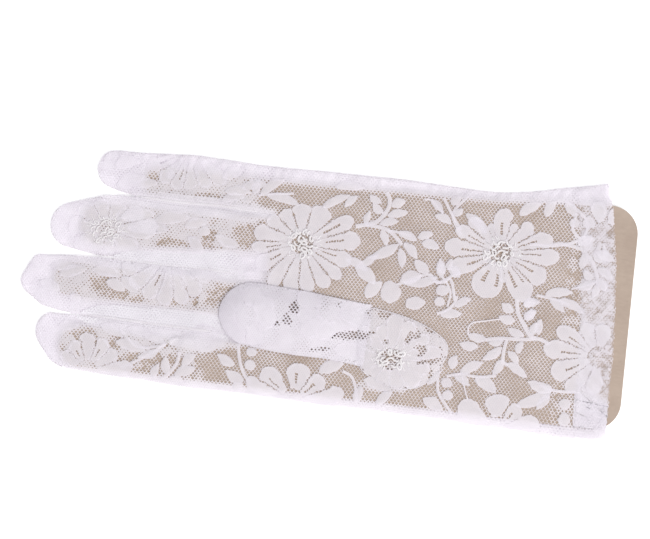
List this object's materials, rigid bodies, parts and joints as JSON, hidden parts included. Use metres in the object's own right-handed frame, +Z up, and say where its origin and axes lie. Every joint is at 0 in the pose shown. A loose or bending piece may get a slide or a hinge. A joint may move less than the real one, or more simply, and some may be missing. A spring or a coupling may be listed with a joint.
{
  "type": "lace glove on a display card",
  "caption": "Wrist-length floral lace glove for the left hand, laid palm up over a hand-shaped card, with the thumb folded across the palm.",
  "frame": {"origin": "centre of the bottom of the bounding box, on the surface that the glove lies on", "axes": "+X from the fingertips to the cuff, +Y from the index side to the little-finger side, +Z up out of the palm"},
  "size_m": [0.238, 0.098, 0.0111],
  "materials": {
    "lace": "matte",
    "side_lace": "matte",
    "thread": "satin",
    "cord": "satin",
    "card": "matte"
  },
  "bodies": {
    "glove": {"back_panel": "lace", "palm_panel": "lace", "fourchette_index_middle": "side_lace", "fourchette_middle_ring": "side_lace", "fourchette_ring_little": "side_lace", "thumb_gusset": "lace", "cuff_hem_palm": "lace", "cuff_hem_back": "lace", "little_side_seam": "thread", "index_tip_seam": "thread", "middle_tip_seam": "thread", "ring_tip_seam": "thread", "little_tip_seam": "thread", "finger_seams_palm": "thread", "finger_seams_back": "thread", "gusset_seam": "thread", "hem_stitch_palm": "thread", "hem_stitch_back": "thread", "flower_knots_palm": "cord", "gusset_flower_knots": "cord"},
    "thumb": {"thumb_back": "lace", "thumb_front": "lace", "thumb_seam": "thread"},
    "card": {"hand_card": "card"}
  },
  "joints": [
    {"name": "card_slide", "type": "slide", "parent": "glove", "child": "card", "axis": [1, 0, 0], "range_m": [0, 0.24]},
    {"name": "thumb_lift", "type": "hinge", "parent": "glove", "child": "thumb", "pos_m": [0.018, -0.021, 0.005], "axis": [0, 1, 0], "range_deg": [0, 120]}
  ]
}
